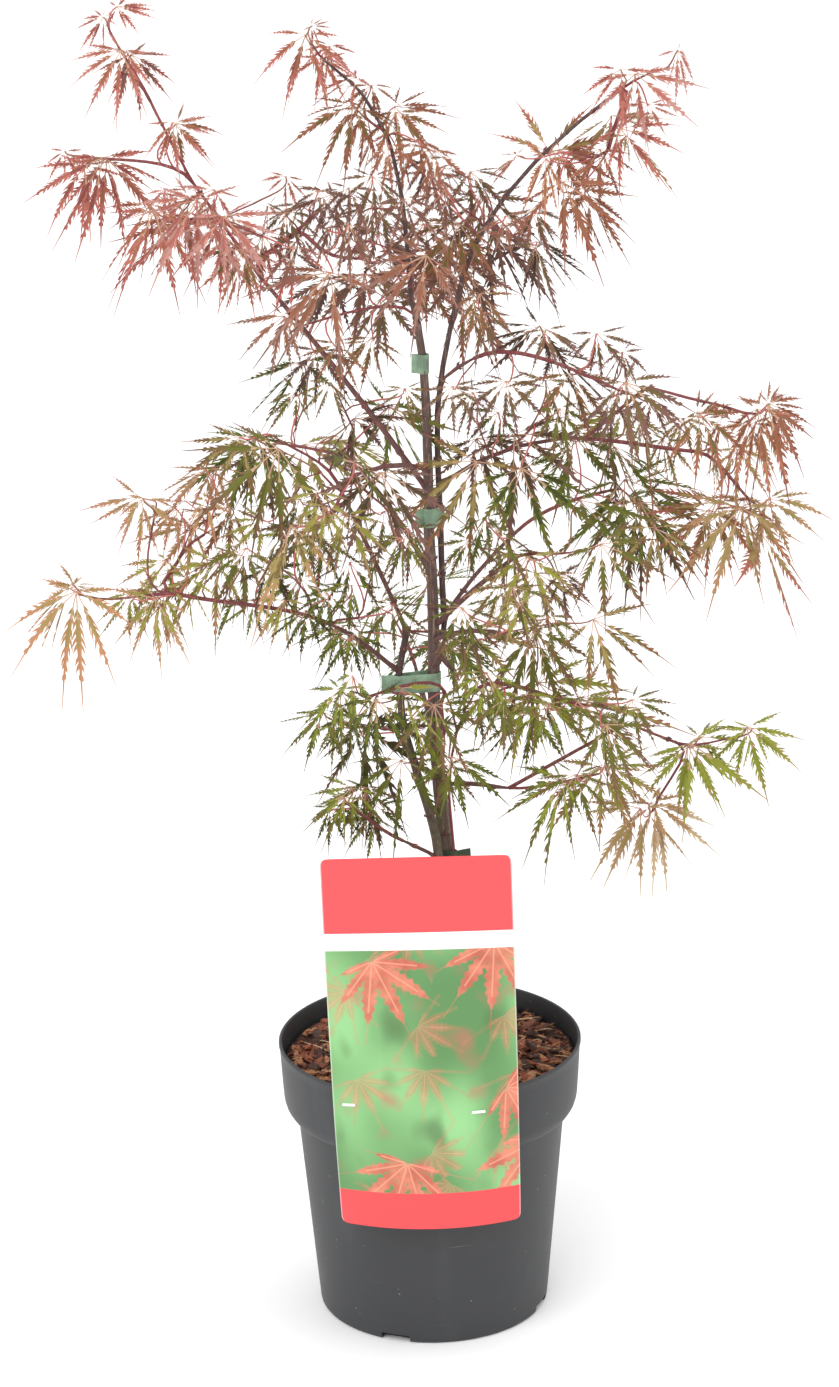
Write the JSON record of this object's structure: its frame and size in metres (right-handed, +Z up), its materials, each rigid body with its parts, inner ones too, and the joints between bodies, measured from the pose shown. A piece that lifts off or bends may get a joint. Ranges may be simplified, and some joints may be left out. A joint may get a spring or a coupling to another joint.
{
  "type": "potted japanese maple",
  "caption": "Young cut-leaved japanese maple with layered, drooping, finely cut foliage, in a round nursery pot with a picture card on its rim.",
  "frame": {"origin": "centre of the pot's flat underside, on the surface that the pot stands on", "axes": "+Z up along the pot and trunk, -Y to the front where the picture card hangs, +X to the plant's right as seen from the front"},
  "size_m": [0.503, 0.3659, 0.8323],
  "materials": {
    "foliage_coral": "matt coral red young leaves",
    "foliage_rust": "matt rust brown leaves",
    "foliage_plum": "matt purple brown leaves",
    "foliage_olive": "matt olive leaves with brown tips",
    "foliage_green": "matt mid green leaves",
    "foliage_gold": "matt yellow orange leaves",
    "trunk_bark": "grey brown bark with pale streaks",
    "stem_bark": "dark purple brown bark",
    "bough_bark": "smooth purple brown young bark",
    "shoot_bark": "smooth red young shoots",
    "pot_plastic": "matt charcoal moulded plastic",
    "potting_mulch": "loose red brown bark chips over compost",
    "card_print": "glossy printed plastic card",
    "tie_tape": "soft grey green stretch tape"
  },
  "bodies": {
    "root": {"pot": "pot_plastic", "soil": "potting_mulch", "trunk": "trunk_bark", "left_stem": "stem_bark", "right_stem": "stem_bark", "leader_top": "bough_bark", "bough_arch_right": "bough_bark", "bough_back_left": "bough_bark", "bough_back_low": "bough_bark", "bough_back_right": "bough_bark", "bough_back_upper": "bough_bark", "bough_foot_left": "bough_bark", "bough_front_left": "bough_bark", "bough_front_right": "bough_bark", "bough_left_low": "bough_bark", "bough_left_middle": "bough_bark", "bough_low_right": "bough_bark", "bough_lower_right": "bough_bark", "bough_right_long": "bough_bark", "bough_right_middle": "bough_bark", "bough_upper_left": "bough_bark", "shoot_arch_right": "shoot_bark", "shoot_lower_right": "shoot_bark", "shoot_top_left": "shoot_bark", "mass_arch_right": "foliage_plum", "mass_arch_right_tip": "foliage_rust", "mass_back_left": "foliage_olive", "mass_back_low": "foliage_green", "mass_back_right": "foliage_olive", "mass_back_upper": "foliage_plum", "mass_centre_right": "foliage_olive", "mass_crown_top": "foliage_rust", "mass_foot_left": "foliage_green", "mass_front_left": "foliage_olive", "mass_front_right": "foliage_olive", "mass_leader_tip": "foliage_coral", "mass_left_low": "foliage_green", "mass_left_low_tip": "foliage_gold", "mass_left_middle": "foliage_olive", "mass_left_middle_tip": "foliage_rust", "mass_left_tip": "foliage_coral", "mass_low_right": "foliage_green", "mass_low_right_tip": "foliage_gold", "mass_lower_left": "foliage_green", "mass_lower_right": "foliage_green", "mass_lower_right_tip": "foliage_green", "mass_middle_high": "foliage_plum", "mass_right_long": "foliage_olive", "mass_right_long_tip": "foliage_rust", "mass_right_middle": "foliage_olive", "mass_right_top": "foliage_rust", "mass_right_top_tip": "foliage_coral", "mass_top_left": "foliage_coral", "mass_upper_left": "foliage_coral", "mass_upper_middle": "foliage_plum", "mass_upper_right": "foliage_plum", "picture_card": "card_print", "tie_high": "tie_tape", "tie_low": "tie_tape", "tie_middle": "tie_tape"}
  },
  "joints": []
}
